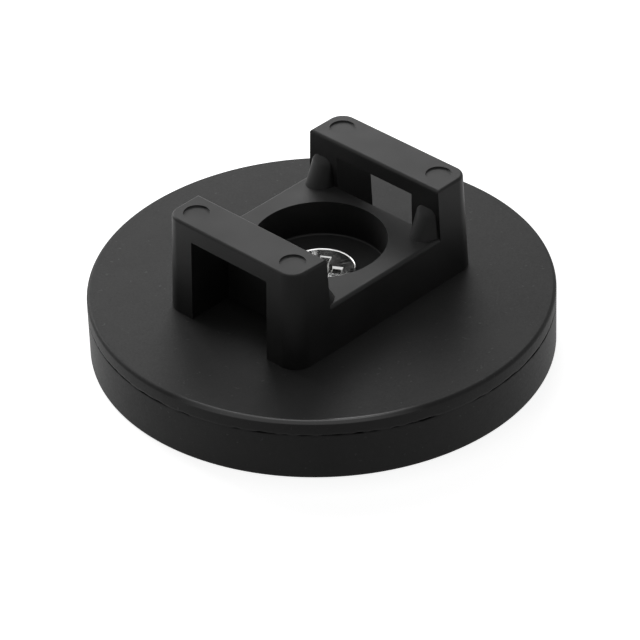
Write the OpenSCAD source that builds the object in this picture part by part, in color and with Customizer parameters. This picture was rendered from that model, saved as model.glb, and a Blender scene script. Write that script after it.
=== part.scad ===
// Magnetic cable tie mount: a moulded saddle with two arches, held by one screw
// on a rubber-jacketed disc of magnets. +Z is up and the origin is the centre of
// the disc's underside. X runs with the tie, through both arches. Y runs along them.

/* [Disc] */
// Diameter of the rubber disc
disc_d = 43; // [41:0.5:48]
// Height of the rubber disc
disc_h = 6.2; // [5.8:0.1:8]
// Radius of the disc's rounded edges
disc_edge_r = 0.3; // [0.15:0.05:0.6]
// Height of the mould seam above the underside
seam_z = 4.7; // [4:0.1:5.1]
// Width of the mould seam's groove
seam_w = 0.2; // [0.08:0.02:0.3]
// Depth of the mould seam's groove
seam_depth = 0.1; // [0.02:0.01:0.15]
// Rubber around the steel plate
side_skin = 1.5; // [1:0.1:2]
// Rubber under the magnets
bottom_skin = 0.6; // [0.4:0.1:0.8]

/* [Magnet core] */
// Thickness of the steel plate that the magnets sit under
plate_t = 1.5; // [1.1:0.1:1.7]
// Number of magnets in the ring
magnet_count = 8; // [6:2:10]
// Diameter of one magnet
magnet_d = 8; // [6:0.5:8.5]
// Thickness of one magnet
magnet_t = 3; // [2.6:0.1:3.2]
// Distance from the plate's edge in to the outer side of a magnet
magnet_edge = 2; // [1:0.25:3]

/* [Threaded bush] */
// Diameter of the bush where it passes the plate
bush_d = 8; // [7:0.5:9]
// Diameter of the bush's flange under the plate
bush_flange_d = 11; // [10:0.5:13]
// Thickness of the bush's flange
bush_flange_t = 1.2; // [0.8:0.1:1.6]
// Free depth of the threaded hole below the screw's tip
tip_gap = 0.4; // [0.2:0.1:0.6]

/* [Screw] */
// Diameter of the screw's thread
thread_d = 4; // [3:0.5:4.5]
// Length of the screw, head included
screw_l = 6; // [5:0.1:6.4]
// Overhang of the countersunk head past the thread, all round
head_over = 1.3; // [1:0.05:1.35]
// Height of the head's upright rim
head_rim_h = 0.25; // [0.1:0.05:0.35]
// Height of the head's face above the recess floor
head_proud = 0.45; // [0.35:0.05:0.7]
// Width of the cross from tip to tip of its wings
cross_d = 4; // [3.6:0.1:4.8]
// Width of one wing of the cross
cross_wing_w = 1.1; // [0.8:0.05:1.3]
// Width of the cross from tip to tip at its foot
cross_foot_d = 2; // [1.4:0.1:2.6]
// Diameter of the cross's conical middle, at the face
cross_core_d = 2.2; // [1.6:0.1:2.8]
// Depth of the cross
cross_depth = 1.7; // [1.2:0.1:2]
// Turn of the cross from the X axis, in degrees
cross_turn = 30; // [0:5:90]

/* [Saddle] */
// Length of the saddle over both arches, at the top
saddle_l = 23; // [22:0.1:26]
// Width of the saddle along the arches, at the top
saddle_w = 16; // [15.2:0.1:19]
// Height of the saddle
saddle_h = 9.8; // [9.3:0.1:13]
// Draft angle of the outer faces, in degrees
draft_deg = 2.5; // [1:0.1:4]
// Radius of the upright corners in plan, at the top
corner_r = 1.5; // [0.8:0.1:2.2]
// Height of the base between the arches
base_h = 4.8; // [4.4:0.1:5.4]
// Width of one arch in the direction of the tie
arch_d = 4.25; // [3.4:0.05:4.6]
// Thickness of the bar on top of an arch
bar_t = 1.65; // [1.2:0.05:2]
// Width of the window that the tie passes through
window_w = 9.4; // [8:0.1:10.4]

/* [Saddle details] */
// Diameter of the round recess for the screw
recess_d = 12.4; // [10.6:0.1:13]
// Thickness of the floor under the screw's head
floor_t = 1.2; // [1.1:0.05:1.6]
// Diameter of the sloped half-round gussets
gusset_d = 2.8; // [2:0.1:2.9]
// Reach of a gusset along the top of the base
gusset_reach = 1.7; // [0.8:0.1:1.9]
// Distance from the underside of the bar down to a gusset's top
gusset_drop = 0.7; // [0.2:0.1:1.2]
// Distance from a gusset out to the end face of its post
gusset_inset = 0.2; // [0.04:0.02:0.3]
// Diameter of the ejector pin marks on the bars
mark_d = 2.4; // [1.6:0.1:3]
// Depth of the ejector pin marks
mark_depth = 0.15; // [0.05:0.05:0.2]
// Distance from a mark's centre to the outer edges of its bar
mark_inset = 2; // [1.7:0.1:2.2]

/* [Clearances] */
// Radial clearance of the screw in the saddle's hole
hole_clearance = 0.25; // [0.1:0.05:0.4]
// Gap between the head's cone and its seat
seat_clearance = 0.03; // [0.02:0.01:0.06]
// Radial gap between the screw and the bush, where the threads mesh
thread_clearance = 0.05; // [0.02:0.01:0.1]

/* [Hidden] */
MAGNETS = [for (i = [1:magnet_count]) str("magnet_", i)];

// Facets of round faces, and of the hull that forms the saddle's corners
$fn = 96;
corner_fn = 64;
// Steps in the disc's rounded edges
edge_steps = 6;
// Overshoot of a cut past the face that it opens
over = 1;

// Disc and core, from the underside up
disc_r = disc_d / 2;
plate_r = disc_r - side_skin;
magnet_top = bottom_skin + magnet_t;
ring_r = plate_r - magnet_edge - magnet_d / 2;
bush_r = bush_d / 2;

// Saddle, from the top of the disc up
base_top = disc_h + base_h;
saddle_top = disc_h + saddle_h;
bar_bottom = saddle_top - bar_t;
floor_top = disc_h + floor_t;
draft_off = saddle_h * tan(draft_deg);
// Faces of the arches that look at each other
arch_x = saddle_l / 2 - arch_d;
gusset_r = gusset_d / 2;
gusset_y = saddle_w / 2 - gusset_inset - gusset_r;

// Screw, from its tip up
thread_r = thread_d / 2;
head_r = thread_r + head_over;
head_top = floor_top + head_proud;
head_rim_z = head_top - head_rim_h;
// The cone's sides slope at 45 degrees, so it is as high as the head overhangs
head_cone_z = head_rim_z - head_over;
screw_tip = head_top - screw_l;
hole_bottom = screw_tip - tip_gap;

// Colours of the pieces
RUBBER = [0.09, 0.09, 0.09];
NYLON = [0.05, 0.05, 0.05];
PLATED = [0.75, 0.76, 0.78];
STEEL = [0.55, 0.56, 0.58];
NICKEL = [0.68, 0.67, 0.64];

// Points of a quarter circle about c, from angle a0 to a0 + 90
function quarter(c, r, a0) = [
    for (i = [0:edge_steps])
        c + r * [cos(a0 + 90 * i / edge_steps), sin(a0 + 90 * i / edge_steps)]
];

// Repeats its children at all four corners of the saddle, as mirror images
module each_corner() {
    for (flip_x = [0, 1], flip_y = [0, 1])
        mirror([flip_x, 0, 0])
            mirror([0, flip_y, 0])
                children();
}

// Half section of the disc: rounded edges and the V groove of the seam
module disc_section() {
    low = [disc_r - disc_edge_r, disc_edge_r];
    high = [disc_r - disc_edge_r, disc_h - disc_edge_r];
    seam = [
        [disc_r, seam_z - seam_w / 2],
        [disc_r - seam_depth, seam_z],
        [disc_r, seam_z + seam_w / 2]
    ];
    polygon(concat(
        [[0, 0]],
        quarter(low, disc_edge_r, -90),
        seam,
        quarter(high, disc_edge_r, 0),
        [[0, disc_h]]
    ));
}

// The space that the steel plate fills
module plate_blank() {
    translate([0, 0, magnet_top])
        cylinder(h = plate_t, r = plate_r);
}

// The space that magnet i fills
module magnet_blank(i) {
    rotate([0, 0, 360 * (i - 0.5) / magnet_count])
        translate([ring_r, 0, bottom_skin])
            cylinder(h = magnet_t, d = magnet_d);
}

// The space that the bush fills: a flange under the plate and a neck up to the saddle
module bush_blank() {
    translate([0, 0, magnet_top - bush_flange_t])
        cylinder(h = bush_flange_t, d = bush_flange_d);
    translate([0, 0, bottom_skin])
        cylinder(h = disc_h - bottom_skin, r = bush_r);
}

// Outer form of the saddle: drafted faces and rounded upright corners
module saddle_block() {
    translate([0, 0, disc_h])
        hull()
            each_corner()
                translate([saddle_l / 2 - corner_r, saddle_w / 2 - corner_r, 0])
                    cylinder(h = saddle_h, r1 = corner_r + draft_off, r2 = corner_r, $fn = corner_fn);
}

// The channel between the arches, above the base
module channel() {
    translate([-arch_x, -saddle_w, base_top])
        cube([2 * arch_x, 2 * saddle_w, saddle_h]);
}

// The window under one bar: it runs from the disc up to the bar
module window() {
    translate([arch_x, -window_w / 2, disc_h - over])
        cube([saddle_l, window_w, bar_bottom - disc_h + over]);
}

// The sloped half-round gusset between one post and the base
module gusset() {
    rise = bar_bottom - gusset_drop - base_top;
    slope = atan(gusset_reach / rise);
    sunk = 0.4;
    translate([arch_x - gusset_reach, gusset_y, base_top])
        rotate([0, slope, 0])
            translate([gusset_r, 0, -sunk])
                cylinder(h = rise / cos(slope) + 2 * sunk, r = gusset_r);
}

// The shallow round mark that an ejector pin leaves on a bar
module ejector_mark() {
    translate([saddle_l / 2 - mark_inset, saddle_w / 2 - mark_inset, saddle_top - mark_depth])
        cylinder(h = mark_depth + over, d = mark_d);
}

// The round recess, the screw's hole and its countersunk seat
module screw_cuts() {
    translate([0, 0, floor_top])
        cylinder(h = saddle_h, d = recess_d);
    translate([0, 0, disc_h - over])
        cylinder(h = floor_t + 2 * over, r = thread_r + hole_clearance);
    translate([0, 0, head_cone_z])
        cylinder(h = head_over, r1 = thread_r + seat_clearance, r2 = head_r + seat_clearance);
}

module saddle() {
    color(NYLON)
        difference() {
            union() {
                difference() {
                    saddle_block();
                    channel();
                    window();
                    mirror([1, 0, 0])
                        window();
                }
                each_corner()
                    gusset();
            }
            screw_cuts();
            each_corner()
                ejector_mark();
        }
}

// The cross in the screw's head: two wings that taper with depth, and a conical middle
module cross_recess() {
    for (a = [0, 90])
        rotate([90, 0, a])
            linear_extrude(cross_wing_w, center = true)
                polygon([
                    [-cross_foot_d / 2, -cross_depth],
                    [cross_foot_d / 2, -cross_depth],
                    [cross_d / 2, 0],
                    [cross_d / 2, over],
                    [-cross_d / 2, over],
                    [-cross_d / 2, 0]
                ]);
    translate([0, 0, -cross_depth])
        cylinder(h = cross_depth, d1 = cross_wing_w, d2 = cross_core_d);
}

module screw() {
    tip_chamfer = 0.5;
    head_break = 0.08;
    color(PLATED)
        difference() {
            rotate_extrude()
                polygon([
                    [0, screw_tip],
                    [thread_r - tip_chamfer, screw_tip],
                    [thread_r, screw_tip + tip_chamfer],
                    [thread_r, head_cone_z],
                    [head_r, head_rim_z],
                    [head_r, head_top - head_break],
                    [head_r - head_break, head_top],
                    [0, head_top]
                ]);
            translate([0, 0, head_top])
                rotate([0, 0, cross_turn])
                    cross_recess();
        }
}

module rubber_jacket() {
    color(RUBBER)
        difference() {
            rotate_extrude()
                disc_section();
            plate_blank();
            bush_blank();
            for (i = [1:magnet_count])
                magnet_blank(i);
        }
}

module steel_plate() {
    color(STEEL)
        difference() {
            plate_blank();
            translate([0, 0, magnet_top - over])
                cylinder(h = plate_t + 2 * over, r = bush_r);
        }
}

module threaded_bush() {
    color(STEEL)
        difference() {
            bush_blank();
            translate([0, 0, hole_bottom])
                cylinder(h = disc_h, r = thread_r + thread_clearance);
        }
}

module magnet(i) {
    color(NICKEL)
        magnet_blank(i);
}

saddle();
screw();
rubber_jacket();
steel_plate();
threaded_bush();
for (i = [1:magnet_count])
    magnet(i);
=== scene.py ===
"""Dressed scene of a magnetic cable tie mount: materials, edge breaks, light and camera."""

import math

import bmesh
import bpy
from mathutils import Matrix, Vector, noise


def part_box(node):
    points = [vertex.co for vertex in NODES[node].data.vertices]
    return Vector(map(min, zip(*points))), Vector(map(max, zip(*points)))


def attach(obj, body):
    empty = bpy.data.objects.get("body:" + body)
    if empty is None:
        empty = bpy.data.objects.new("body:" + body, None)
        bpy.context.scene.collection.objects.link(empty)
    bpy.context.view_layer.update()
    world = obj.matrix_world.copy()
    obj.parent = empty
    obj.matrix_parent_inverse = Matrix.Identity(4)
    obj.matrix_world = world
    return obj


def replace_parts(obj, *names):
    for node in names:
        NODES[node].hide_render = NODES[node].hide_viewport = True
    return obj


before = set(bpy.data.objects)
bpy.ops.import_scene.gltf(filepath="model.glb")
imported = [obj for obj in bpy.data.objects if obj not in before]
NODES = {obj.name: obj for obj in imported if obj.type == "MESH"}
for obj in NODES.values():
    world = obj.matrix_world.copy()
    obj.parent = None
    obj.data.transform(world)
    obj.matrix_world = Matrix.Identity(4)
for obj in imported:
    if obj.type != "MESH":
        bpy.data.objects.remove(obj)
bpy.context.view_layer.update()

MM = 0.001
MAGNETS = [name for name in NODES if name.startswith("magnet_")]

# The camera at the photograph's angle, in degrees; it aims a little off the origin
CAM_AZIMUTH = -45.09
CAM_ELEVATION = 34.845
CAM_ROLL = -2.02
CAM_DISTANCE = 372.4 * MM
CAM_ASIDE = -0.237 * MM
CAM_ABOVE = 1.688 * MM
CAM_LENS = 226.86
SENSOR = 36.0

# Soft boxes: name, azimuth round from the camera, elevation, distance, size and the face's radiance
LAMPS = (
    ("near_left_back", 225, 30, 0.11, 0.05, 6.3),
    ("near_back", 180, 30, 0.11, 0.05, 1.6),
    ("near_top", 0, 90, 0.12, 0.06, 1.7),
    ("far_back", 180, 40, 0.35, 0.16, 2.3),
    ("far_back_low", 180, 12, 0.35, 0.16, 0.4),
)

# The floor lies a little below the underside, so that the two faces are not in the same place
FLOOR_SIDE, FLOOR_DOWN = 6.0, 0.02 * MM
FLOOR_SHADE, FLOOR_GLOW = 0.75, 0.9


def axes(azimuth, elevation, roll=0.0):
    """Right, up and back of a camera at that azimuth, elevation and roll, in degrees."""
    a, e, r = (math.radians(x) for x in (azimuth, elevation, roll))
    back = Vector((math.sin(a) * math.cos(e), -math.cos(a) * math.cos(e), math.sin(e)))
    flat = Vector((math.cos(a), math.sin(a), 0))
    rise = back.cross(flat)
    right = flat * math.cos(r) + rise * math.sin(r)
    return right, back.cross(right), back


def place(obj, right, up, back, where):
    """Gives obj these axes and that place."""
    turn = Matrix((right, up, back)).transposed().to_4x4()
    obj.matrix_world = Matrix.Translation(where) @ turn


def make_camera():
    data = bpy.data.cameras.new("camera")
    data.lens = CAM_LENS
    data.sensor_width = SENSOR
    data.clip_start, data.clip_end = 0.01, 20
    cam = bpy.data.objects.new("camera", data)
    bpy.context.scene.collection.objects.link(cam)
    flat, rise, _ = axes(CAM_AZIMUTH, CAM_ELEVATION)
    target = flat * CAM_ASIDE + rise * CAM_ABOVE
    right, up, back = axes(CAM_AZIMUTH, CAM_ELEVATION, CAM_ROLL)
    place(cam, right, up, back, target + back * CAM_DISTANCE)
    bpy.context.scene.camera = cam


def lamp(name, azimuth, elevation, distance, size, glow):
    """A soft box that faces the object, for a row of LAMPS."""
    data = bpy.data.lights.new(name, "AREA")
    data.shape = "SQUARE"
    data.size = size
    data.energy = math.pi * size * size * glow
    obj = bpy.data.objects.new(name, data)
    bpy.context.scene.collection.objects.link(obj)
    right, up, back = axes(CAM_AZIMUTH + azimuth, elevation)
    place(obj, right, up, back, back * distance)
    obj.visible_camera = False


# ---------------------------------------------------------------- materials
class Shader:
    """A material's node tree, with short calls to add and link nodes. Lengths are in millimetres."""

    def __init__(self, name, **sockets):
        self.material = bpy.data.materials.new(name)
        self.material.use_nodes = True
        self.tree = self.material.node_tree
        self.bsdf = self.tree.nodes["Principled BSDF"]
        self.place = self.add("ShaderNodeTexCoord").outputs["Object"]
        self.give(**sockets)

    def add(self, kind, inputs=None, **props):
        made = self.tree.nodes.new(kind)
        for key, value in props.items():
            setattr(made, key, value)
        for key, value in (inputs or {}).items():
            self.join(value, made.inputs[key])
        return made

    def join(self, value, socket):
        """Links a value that is a socket, and sets any other."""
        if isinstance(value, bpy.types.NodeSocket):
            self.tree.links.new(value, socket)
        else:
            socket.default_value = value

    def give(self, **values):
        """Joins values to the material's own sockets."""
        for key, value in values.items():
            self.join(value, self.bsdf.inputs[key.replace("_", " ")])

    def noise(self, size, detail=2.0, rough=0.5, stretch=(1, 1, 1)):
        """Noise whose grain is about that size across."""
        where = self.add("ShaderNodeMapping", {"Vector": self.place, "Scale": stretch}).outputs[0]
        inputs = {"Vector": where, "Scale": 1 / (size * MM), "Detail": detail, "Roughness": rough}
        return self.add("ShaderNodeTexNoise", inputs).outputs["Fac"]

    def map(self, value, low, high, to_low=0.0, to_high=1.0):
        inputs = {"Value": value, "From Min": low, "From Max": high, "To Min": to_low, "To Max": to_high}
        return self.add("ShaderNodeMapRange", inputs).outputs[0]

    def ramp(self, length, low, high, to_low=0.0, to_high=1.0):
        """As map, for a length."""
        return self.map(length, low * MM, high * MM, to_low, to_high)

    def times(self, a, b):
        return self.add("ShaderNodeMath", {0: a, 1: b}, operation="MULTIPLY").outputs[0]

    def radius(self):
        """Distance from the Z axis."""
        flat = self.add("ShaderNodeMapping", {"Vector": self.place, "Scale": (1, 1, 0)}).outputs[0]
        return self.add("ShaderNodeVectorMath", {0: flat}, operation="LENGTH").outputs["Value"]

    def height(self):
        return self.add("ShaderNodeSeparateXYZ", {"Vector": self.place}).outputs["Z"]

    def along(self, direction):
        """Distance from the origin along that direction."""
        made = self.add("ShaderNodeVectorMath", {0: self.place, 1: direction}, operation="DOT_PRODUCT")
        return made.outputs["Value"]

    def mix(self, factor, a, b):
        made = self.add("ShaderNodeMix", {"Factor": factor, "A": a, "B": b}, data_type="RGBA")
        return made.outputs["Result"]

    def clouded(self, cloud, a, b):
        """A colour that wanders from a to b with the noise."""
        return self.mix(self.map(cloud, 0.35, 0.65), a, b)

    def worn(self, cloud, low, high):
        """A roughness that wanders from low to high with the noise."""
        return self.map(cloud, 0.3, 0.7, low, high)

    def bump(self, *layers):
        """Bump from (height, depth) layers, one on top of the other."""
        normal = None
        for height, depth in layers:
            inputs = {"Height": height, "Distance": depth * MM, "Strength": 1.0}
            if normal is not None:
                inputs["Normal"] = normal
            normal = self.add("ShaderNodeBump", inputs).outputs[0]
        self.give(Normal=normal)


def grey(value):
    return (value, value, value, 1.0)


def rubber():
    """Matte black rubber with a fine grain and specks of dust."""
    s = Shader("rubber", Coat_Roughness=0.16)
    cloud = s.noise(5, 4, 0.6)
    grain = s.noise(0.22, 3, 0.6)
    radius, height = s.radius(), s.height()
    # The seam's groove gets painted shade: a near-black colour and no specular. It lies deeper than the
    # wall, which stops short of the rounded edges
    wall = s.times(s.ramp(height, 1.0, 1.1), s.ramp(height, 5.4, 5.5, 1, 0))
    groove_shade = s.times(wall, s.ramp(radius, 21.28, 21.44, 0.8, 0))
    # A glossy coat on the rim, only on the side toward the camera: a painted highlight
    rim_highlight = s.times(s.ramp(radius, 21.0, 21.15, 0, 0.8), s.ramp(height, 5.85, 5.95))
    rim_highlight = s.times(rim_highlight, s.ramp(s.along(axes(CAM_AZIMUTH - 7.5, 0)[2]), 18.2, 20.6))
    skin = s.clouded(cloud, grey(0.0155), grey(0.0205))
    dusty = s.mix(s.map(s.noise(0.5, 2, 0.5), 0.68, 0.76, 0, 0.6), skin, grey(0.05))
    # Painted shade: the base colour goes near black in the seam's groove
    s.give(Base_Color=s.mix(groove_shade, dusty, grey(0.004)), Roughness=s.worn(grain, 0.50, 0.60))
    # The rim's glossy coat is a painted highlight; the groove's specular is taken away as painted shade
    s.give(Specular_IOR_Level=s.map(groove_shade, 0, 1, 0.15, 0), Coat_Weight=rim_highlight)
    s.bump((grain, 0.004), (s.noise(1.6, 2), 0.012), (s.noise(0.5, 2, 0.5, (1, 1, 0.2)), 0.003))
    return s.material


def nylon():
    """Satin black moulded nylon."""
    s = Shader("nylon", Specular_IOR_Level=0.15)
    cloud = s.noise(4, 3, 0.55)
    grain = s.noise(0.12, 2, 0.6)
    s.give(Base_Color=s.clouded(cloud, grey(0.021), grey(0.024)), Roughness=s.worn(cloud, 0.42, 0.50))
    s.bump((grain, 0.0015), (s.noise(2.5, 1), 0.012))
    return s.material


def plated():
    """Bright zinc plating."""
    s = Shader("plated_steel", Metallic=1.0)
    cloud = s.noise(0.9, 3, 0.6)
    s.give(Base_Color=s.clouded(cloud, grey(0.62), (0.70, 0.70, 0.69, 1)))
    s.give(Roughness=s.worn(cloud, 0.10, 0.18))
    s.bump((s.noise(0.25, 2, 0.5), 0.0025))
    return s.material


def brushed(name, dark, light, stretch, rough):
    """Plain metal with fine lines."""
    s = Shader(name, Metallic=1.0)
    lines = s.noise(0.3, 4, 0.65, stretch)
    s.give(Base_Color=s.clouded(lines, dark, light), Roughness=s.worn(lines, rough, rough + 0.15))
    s.bump((lines, 0.004))
    return s.material


def dress(node, material):
    """Puts the material on a CAD node."""
    data = NODES[node].data
    data.materials.clear()
    data.materials.append(material)


# ---------------------------------------------------------------- mesh helpers, in millimetres
# Where a cutter ends: past every face of the part
FAR = 30
# Faces that meet at a larger angle keep a sharp edge
SHARP = math.radians(32)
# Points closer than this become one, and edges flatter than this go
SAME_PLACE, SAME_PLANE = 0.0005, math.radians(0.02)


def span(node):
    """The lowest and the highest corner of a CAD node."""
    return [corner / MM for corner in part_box(node)]


def mesh_object(name, verts, faces):
    """A closed mesh object."""
    mesh = bpy.data.meshes.new(name)
    mesh.from_pydata([[c * MM for c in v] for v in verts], [], faces)
    obj = bpy.data.objects.new(name, mesh)
    bpy.context.scene.collection.objects.link(obj)
    return obj


def loft(name, rings):
    """A solid through closed rings of equally many points, with a flat cap at both ends."""
    n = len(rings[0])
    verts = [p for ring in rings for p in ring]
    faces = [tuple(reversed(range(n)))]
    for k in range(len(rings) - 1):
        for i in range(n):
            j = (i + 1) % n
            faces.append((k * n + i, k * n + j, (k + 1) * n + j, (k + 1) * n + i))
    faces.append(tuple((len(rings) - 1) * n + i for i in range(n)))
    return mesh_object(name, verts, faces)


def prism(name, low, high):
    """A box from its lowest to its highest corner."""
    corners = [(low[0], low[1]), (high[0], low[1]), (high[0], high[1]), (low[0], high[1])]
    return loft(name, [[(x, y, z) for x, y in corners] for z in (low[2], high[2])])


def lathe(name, profile, steps):
    """A solid of revolution about Z. profile holds (radius, z) points from the bottom up, off the axis."""
    angles = [2 * math.pi * i / steps for i in range(steps)]
    return loft(name, [[(r * math.cos(a), r * math.sin(a), z) for a in angles] for r, z in profile])


def arc(centre, radius, start, end, steps):
    """Points of an arc in a plane, its angles in degrees."""
    turns = [math.radians(start + (end - start) * i / steps) for i in range(steps + 1)]
    return [(centre[0] + radius * math.cos(t), centre[1] + radius * math.sin(t)) for t in turns]


def moved(obj, x, y):
    """obj, with its mesh moved sideways."""
    obj.data.transform(Matrix.Translation(Vector((x, y, 0)) * MM))
    return obj


def carve(obj, others, operation):
    """Applies exact booleans of obj with the others, which are then removed."""
    for other in others:
        step = obj.modifiers.new("step", "BOOLEAN")
        step.operation = operation
        step.solver = "EXACT"
        step.object = other
        bpy.context.view_layer.update()
        done = obj.evaluated_get(bpy.context.evaluated_depsgraph_get())
        baked = bpy.data.meshes.new_from_object(done)
        obj.modifiers.clear()
        obj.data = baked
        bpy.data.objects.remove(other)


def dressed(obj, material, node):
    """Smooth faces, kept sharp edges and flat large faces; the piece stands for the CAD node."""
    mesh = obj.data
    bm = bmesh.new()
    bm.from_mesh(mesh)
    bmesh.ops.remove_doubles(bm, verts=bm.verts, dist=SAME_PLACE * MM)
    bmesh.ops.dissolve_limit(bm, angle_limit=SAME_PLANE, verts=bm.verts, edges=bm.edges)
    bm.to_mesh(mesh)
    bm.free()
    mesh.materials.clear()
    mesh.materials.append(material)
    mesh.polygons.foreach_set("use_smooth", [True] * len(mesh.polygons))
    mesh.set_sharp_from_angle(angle=SHARP)
    even = obj.modifiers.new("even", "WEIGHTED_NORMAL")
    even.keep_sharp = True
    even.weight = 100
    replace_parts(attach(obj, "root"), node)


# ---------------------------------------------------------------- the saddle, as in the CAD source
SADDLE_LOW, SADDLE_HIGH = span("saddle")
DISC_TOP, SADDLE_TOP = SADDLE_LOW.z, SADDLE_HIGH.z
DRAFT = math.tan(math.radians(2.5))
# Half the length and width at the top, where the drafted faces are nearest to the middle
HALF_LENGTH = SADDLE_HIGH.x - (SADDLE_TOP - DISC_TOP) * DRAFT
HALF_WIDTH = SADDLE_HIGH.y - (SADDLE_TOP - DISC_TOP) * DRAFT
CORNER_R = 1.5
BASE_TOP = DISC_TOP + 4.8
BAR_BOTTOM = SADDLE_TOP - 1.65
ARCH_X = HALF_LENGTH - 4.25
WINDOW_HALF = 4.7
RECESS_R = 6.2
FLOOR_TOP = DISC_TOP + 1.2
HOLE_R, SEAT = 2.25, 0.88
# A gusset's half width and reach at its foot, and those that its taper heads for at the top
GUSSET_HALF, GUSSET_REACH = 1.42, 1.8
GUSSET_TOP_HALF, GUSSET_TOP_REACH = 1.1, 0.1
# Height of its rounded cap, the share of its width left at the tip, and the cap's rings as angles
GUSSET_CAP, GUSSET_TIP = 0.7, 0.35
GUSSET_TURNS = (0.3, 0.6, 0.9, 1.15, 1.35, 1.48)
# From the bar down to its tip, from the saddle's side in to its middle, and into base and post
GUSSET_DROP, GUSSET_INSET, GUSSET_SUNK = 0.65, 1.45, 0.4
MARK_R, MARK_DEPTH, MARK_INSET, MARK_EDGE = 1.2, 0.15, 2.0, 0.05
# Radii of the moulding's rounded edges
TOP_ROUND, BAR_ROUND, BASE_ROUND, FLOOR_ROUND = 0.26, 0.28, 0.3, 0.2


def outline(z, inset=0.0, steps=20):
    """The saddle's drafted, rounded outline at height z."""
    out = (SADDLE_TOP - z) * DRAFT - inset
    x, y, r = HALF_LENGTH - CORNER_R, HALF_WIDTH - CORNER_R, CORNER_R + out
    points = []
    for turn, cx, cy in ((0, x, y), (90, -x, y), (180, -x, -y), (270, x, -y)):
        points += arc((cx, cy), r, turn, turn + 90, steps)
    return [(px, py, z) for px, py in points]


def at_corners(make):
    """What make(sx, sy) builds, for all four corners."""
    return [make(sx, sy) for sx in (1, -1) for sy in (1, -1)]


def channel():
    """The cut between the arches. Its upper edges flare, so that the bars' edges are round."""
    right = arc((ARCH_X + BAR_ROUND, SADDLE_TOP - BAR_ROUND), BAR_ROUND, 180, 90, 6)
    side = [(ARCH_X, BASE_TOP)] + right + [(ARCH_X + BAR_ROUND, FAR)]
    section = side + [(-x, z) for x, z in reversed(side)]
    return loft("channel", [[(x, y, z) for x, z in section] for y in (FAR, -FAR)])


def base_edge(side):
    """The cut that rounds one long top edge of the base."""
    edge = HALF_WIDTH + (SADDLE_TOP - BASE_TOP) * DRAFT
    inner, lower = edge - BASE_ROUND, BASE_TOP - BASE_ROUND
    section = arc((inner, lower), BASE_ROUND, 90, 0, 6)
    section += [(edge + 1, lower), (edge + 1, BASE_TOP + 1), (inner, BASE_TOP + 1)]
    ends = (-ARCH_X, ARCH_X) if side > 0 else (ARCH_X, -ARCH_X)
    return loft("base_edge", [[(x, side * y, z) for y, z in section] for x in ends])


def window(side):
    """The cut of one arch's window, from the channel out."""
    low, high = sorted((side * ARCH_X, side * FAR))
    return prism("window", (low, -WINDOW_HALF, 0), (high, WINDOW_HALF, BAR_BOTTOM))


def gusset(sx, sy):
    """A half-round gusset on an arch's inner wall. It narrows upward and ends in a rounded cap."""
    rise = BAR_BOTTOM - GUSSET_DROP - BASE_TOP
    middle = HALF_WIDTH - GUSSET_INSET
    levels = [(-GUSSET_SUNK, 1), (0, 1), (rise - GUSSET_CAP, 1)]
    levels += [(rise - GUSSET_CAP * (1 - math.sin(a)), math.cos(a)) for a in GUSSET_TURNS]
    rings = []
    for h, full in levels:
        t = h / rise
        half = GUSSET_HALF + (GUSSET_TOP_HALF - GUSSET_HALF) * t
        half *= GUSSET_TIP + (1 - GUSSET_TIP) * full
        reach = (GUSSET_REACH + (GUSSET_TOP_REACH - GUSSET_REACH) * t) * full
        turns = [math.pi * i / 32 for i in range(33)]
        section = [(half * math.cos(a), reach * math.sin(a)) for a in turns]
        section += [(-half, -GUSSET_SUNK), (half, -GUSSET_SUNK)]
        ring = [(sx * (ARCH_X - out), sy * (middle + along), BASE_TOP + h) for along, out in section]
        rings.append(ring if sx * sy > 0 else ring[::-1])
    return loft("gusset", rings)


def ejector_mark(sx, sy):
    """The cut of one shallow round mark on top of the saddle."""
    foot = SADDLE_TOP - MARK_DEPTH
    mark = lathe("mark", [(MARK_R - MARK_EDGE, foot), (MARK_R, foot + MARK_EDGE), (MARK_R, FAR)], 64)
    return moved(mark, sx * (HALF_LENGTH - MARK_INSET), sy * (HALF_WIDTH - MARK_INSET))


def screw_cut():
    """The recess with its rounded foot, the countersunk seat and the hole."""
    seat = [(HOLE_R, 0), (HOLE_R, FLOOR_TOP - SEAT), (HOLE_R + SEAT, FLOOR_TOP)]
    foot = arc((RECESS_R - FLOOR_ROUND, FLOOR_TOP + FLOOR_ROUND), FLOOR_ROUND, -90, 0, 5)
    return lathe("recess", seat + foot + [(RECESS_R, FAR)], 128)


def build_saddle():
    rings = [outline(DISC_TOP)]
    for turn in range(0, 91, 15):
        a = math.radians(turn)
        z = SADDLE_TOP - TOP_ROUND * (1 - math.sin(a))
        rings.append(outline(z, TOP_ROUND * (1 - math.cos(a))))
    saddle = loft("saddle_moulding", rings)
    carve(saddle, [channel(), base_edge(1), base_edge(-1), window(1), window(-1)], "DIFFERENCE")
    carve(saddle, at_corners(gusset), "UNION")
    carve(saddle, [screw_cut()] + at_corners(ejector_mark), "DIFFERENCE")
    dressed(saddle, NYLON, "saddle")


# ---------------------------------------------------------------- the screw
SCREW_LOW, SCREW_HIGH = span("screw")
HEAD_R, HEAD_TOP, SCREW_TIP = SCREW_HIGH.x, SCREW_HIGH.z, SCREW_LOW.z
THREAD_R, THREAD_DEEP, PITCH = 2.0, 0.35, 0.7
THREAD_CORE = THREAD_R - THREAD_DEEP
# Rows of points to each turn of the thread, rows over which its ends fade, and the tip's bevel
THREAD_ROWS, THREAD_FADE, TIP_BEVEL = 8, 6, 0.1
# The head: the height of its upright rim, its rolled lip, how far the lip stands above the face
HEAD_RIM, LIP, LIP_HIGH = 0.25, 0.1, 0.04
HEAD_FACE = HEAD_TOP - LIP_HIGH
CONE_FOOT = HEAD_TOP - HEAD_RIM - (HEAD_R - THREAD_R)
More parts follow.
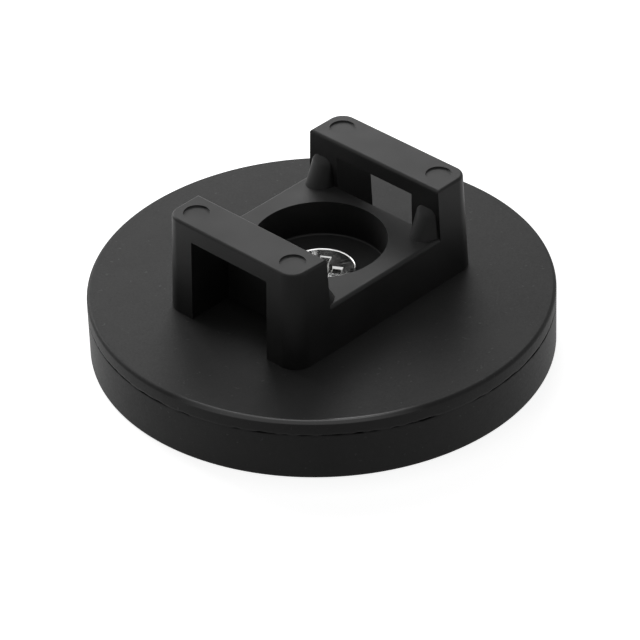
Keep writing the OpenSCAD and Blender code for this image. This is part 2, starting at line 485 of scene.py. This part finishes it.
# A pair of wings of the cross: half its length and width at the mouth, then at the foot
CROSS_R, CROSS_HALF = 2.0, 0.55
CROSS_FOOT, CROSS_FOOT_HALF = 0.9, 0.26
CROSS_DEPTH, CROSS_TURN, CROSS_BREAK = 1.7, 30, 0.17
# Radii of the cross's conical middle, at its foot and at its mouth
MIDDLE_FOOT_R, MIDDLE_R = 0.55, 1.1


def wing(turn):
    """The cut of one pair of wings of the cross, with a broken edge at its mouth."""
    sizes = [(CROSS_FOOT, CROSS_FOOT_HALF, HEAD_FACE - CROSS_DEPTH)]
    sizes += [(CROSS_R - CROSS_BREAK, CROSS_HALF - CROSS_BREAK, HEAD_FACE - CROSS_BREAK)]
    sizes += [(CROSS_R, CROSS_HALF, HEAD_FACE), (CROSS_R, CROSS_HALF, FAR)]
    made = loft("wing", [[(x, -y, z), (x, y, z), (-x, y, z), (-x, -y, z)] for x, y, z in sizes])
    made.data.transform(Matrix.Rotation(math.radians(turn), 4, "Z"))
    return made


def shank(steps=48):
    """The threaded shank, from its tip to under the head."""
    rows = round((CONE_FOOT - SCREW_TIP) / (PITCH / THREAD_ROWS))
    rings = []
    for k in range(rows + 1):
        z = SCREW_TIP + (CONE_FOOT - SCREW_TIP) * k / rows
        fade = min(1, k / THREAD_FADE, (rows - k) / THREAD_FADE)
        ring = []
        for i in range(steps):
            a = 2 * math.pi * i / steps
            crest = abs(((z / PITCH - i / steps) % 1) * 2 - 1)
            r = THREAD_R - THREAD_DEEP * (1 - fade * crest) - (TIP_BEVEL if k == 0 else 0)
            ring.append((r * math.cos(a), r * math.sin(a), z))
        rings.append(ring)
    return loft("shank", rings)


def build_screw():
    # A stub inside the shank, the cone, the upright rim, the rolled lip and the face
    head = [(THREAD_CORE - 0.3, CONE_FOOT - 0.3), (THREAD_CORE, CONE_FOOT - 0.3)]
    head += [(THREAD_CORE, CONE_FOOT - 0.02), (THREAD_R, CONE_FOOT)]
    head += [(HEAD_R - 0.03, HEAD_TOP - HEAD_RIM - 0.03), (HEAD_R, HEAD_TOP - HEAD_RIM + 0.03)]
    head += arc((HEAD_R - LIP, HEAD_TOP - LIP), LIP, 0, 90, 6)
    head += arc((HEAD_R - LIP, HEAD_TOP - LIP), LIP, 100, 130, 3)
    head += [(HEAD_R - 2.6 * LIP, HEAD_FACE), (2.6, HEAD_FACE), (0.05, HEAD_FACE)]
    screw = lathe("screw_head", head, 160)
    middle = [(MIDDLE_FOOT_R, HEAD_FACE - CROSS_DEPTH), (MIDDLE_R, HEAD_FACE - 0.05), (MIDDLE_R, FAR)]
    carve(screw, [wing(CROSS_TURN), wing(CROSS_TURN + 90), lathe("middle", middle, 48)], "DIFFERENCE")
    carve(screw, [shank()], "UNION")
    dressed(screw, PLATED, "screw")


# ---------------------------------------------------------------- the rubber jacket
DISC_R = span("rubber_jacket")[1].x
BOTTOM_ROUND, RIM_ROUND = 0.3, 0.36
# The bush's neck and the thickness of its flange
NECK_R, FLANGE_THICK = 4.0, 1.2
# The mould seam: its height, half its width, its depth, how far it wanders, and the lip above it
SEAM_Z, SEAM_HALF, SEAM_DEEP, SEAM_WANDER, LIP_OUT = 4.7, 0.1, 0.2, 0.05, 0.012
FRONT = math.radians(CAM_AZIMUTH - 90)


def ripple(a, size, seed):
    """Smooth noise from -1 to 1 round the disc, size millimetres from wave to wave."""
    return noise.noise(Vector((DISC_R * math.cos(a) / size, DISC_R * math.sin(a) / size, seed)))


def jacket_section(a):
    """The outer profile at angle a: rounded edges, and a ragged mould seam with a proud lip above it."""
    r = DISC_R - LIP_OUT
    centre = SEAM_Z + SEAM_WANDER * (ripple(a, 6, 1) + 0.7 * ripple(a, 0.9, 2))
    # The seam gapes more at the left and right than in front and behind
    sides = 0.5 - 0.5 * math.cos(2 * (a - FRONT))
    gape = 0.25 + 0.8 * sides + 1.2 * ripple(a, 3.2, 3) + 0.7 * ripple(a, 0.9, 4)
    gape = max(0.05, min(1.3, gape))
    half = SEAM_HALF * (0.75 + 0.35 * gape)
    deep = SEAM_DEEP * gape
    lip = LIP_OUT * (0.5 + 0.5 * ripple(a, 2.5, 5))
    low = arc((r - BOTTOM_ROUND, BOTTOM_ROUND), BOTTOM_ROUND, -90, 0, 5)
    seam = [(r, centre - 3 * half), (r - 0.1 * deep, centre - half), (r - deep, centre - 0.15 * half)]
    seam += [(r - 0.9 * deep, centre + 0.3 * half), (r - 0.2 * deep, centre + half)]
    seam += [(r + lip, centre + 1.8 * half), (r + lip, centre + 3.2 * half), (r, centre + 6 * half)]
    high = arc((r - RIM_ROUND, DISC_TOP - RIM_ROUND), RIM_ROUND, 0, 90, 8)
    return low + seam + high


def core_cut():
    """The room for the bush and the steel plate, open at the disc's top."""
    low, high = span("threaded_bush")
    plate_low, plate_high = span("steel_plate")
    flange = plate_low.z - FLANGE_THICK
    bush = [(NECK_R, low.z), (NECK_R, flange), (high.x, flange), (high.x, plate_low.z)]
    plate = [(plate_high.x, plate_low.z), (plate_high.x, plate_high.z), (NECK_R, plate_high.z)]
    return lathe("core_cut", bush + plate + [(NECK_R, FAR)], 96)


def magnet_cut(node):
    """The room for one magnet. It reaches a little into the plate's."""
    low, high = span(node)
    r = (high.x - low.x) / 2
    return moved(lathe("magnet_cut", [(r, low.z), (r, high.z + 0.1)], 64), low.x + r, low.y + r)


def build_jacket(steps=900):
    angles = [2 * math.pi * i / steps for i in range(steps)]
    sections = [jacket_section(a) for a in angles]
    rings = []
    for level in zip(*sections):
        rings.append([(r * math.cos(a), r * math.sin(a), z) for a, (r, z) in zip(angles, level)])
    jacket = loft("jacket", rings)
    carve(jacket, [core_cut()] + [magnet_cut(name) for name in MAGNETS], "DIFFERENCE")
    dressed(jacket, RUBBER, "rubber_jacket")


# ---------------------------------------------------------------- floor and world
def seen_rays(tree):
    """1 for camera, glossy and transmission rays, which see the white background, and 0 for the others."""
    path = tree.nodes.new("ShaderNodeLightPath")
    seen = path.outputs["Is Camera Ray"]
    for kind in ("Is Glossy Ray", "Is Transmission Ray"):
        either = tree.nodes.new("ShaderNodeMath")
        either.operation = "MAXIMUM"
        tree.links.new(seen, either.inputs[0])
        tree.links.new(path.outputs[kind], either.inputs[1])
        seen = either.outputs[0]
    return seen


def make_floor():
    side, z = FLOOR_SIDE, -FLOOR_DOWN
    corners = [(-side, -side, z), (side, -side, z), (side, side, z), (-side, side, z)]
    mesh = bpy.data.meshes.new("floor")
    mesh.from_pydata(corners, [], [(0, 1, 2, 3)])
    obj = bpy.data.objects.new("floor", mesh)
    bpy.context.scene.collection.objects.link(obj)
    material = bpy.data.materials.new("floor")
    material.use_nodes = True
    tree = material.node_tree
    tree.nodes.clear()
    out = tree.nodes.new("ShaderNodeOutputMaterial")
    both = tree.nodes.new("ShaderNodeAddShader")
    matte = tree.nodes.new("ShaderNodeBsdfDiffuse")
    matte.inputs["Color"].default_value = grey(FLOOR_SHADE)
    glow = tree.nodes.new("ShaderNodeEmission")
    part = tree.nodes.new("ShaderNodeMath")
    part.operation = "MULTIPLY"
    part.inputs[1].default_value = FLOOR_GLOW
    tree.links.new(seen_rays(tree), part.inputs[0])
    tree.links.new(part.outputs[0], glow.inputs["Strength"])
    tree.links.new(matte.outputs[0], both.inputs[0])
    tree.links.new(glow.outputs[0], both.inputs[1])
    tree.links.new(both.outputs[0], out.inputs["Surface"])
    mesh.materials.append(material)


def make_world():
    world = bpy.data.worlds.new("world")
    bpy.context.scene.world = world
    world.use_nodes = True
    tree = world.node_tree
    glow = tree.nodes["Background"]
    glow.inputs["Color"].default_value = grey(1.0)
    tree.links.new(seen_rays(tree), glow.inputs["Strength"])


# ---------------------------------------------------------------- the scene
make_camera()
RUBBER, NYLON, PLATED = rubber(), nylon(), plated()
STEEL = brushed("bare_steel", grey(0.42), grey(0.52), (1, 6, 1), 0.3)
NICKEL = brushed("magnet_nickel", (0.55, 0.54, 0.50, 1), (0.63, 0.62, 0.58, 1), (1, 1, 1), 0.22)
for name in MAGNETS:
    dress(name, NICKEL)
dress("steel_plate", STEEL)
dress("threaded_bush", STEEL)
build_saddle()
build_screw()
build_jacket()
make_floor()
make_world()
for row in LAMPS:
    lamp(*row)

bpy.context.scene.view_settings.view_transform = "Standard"
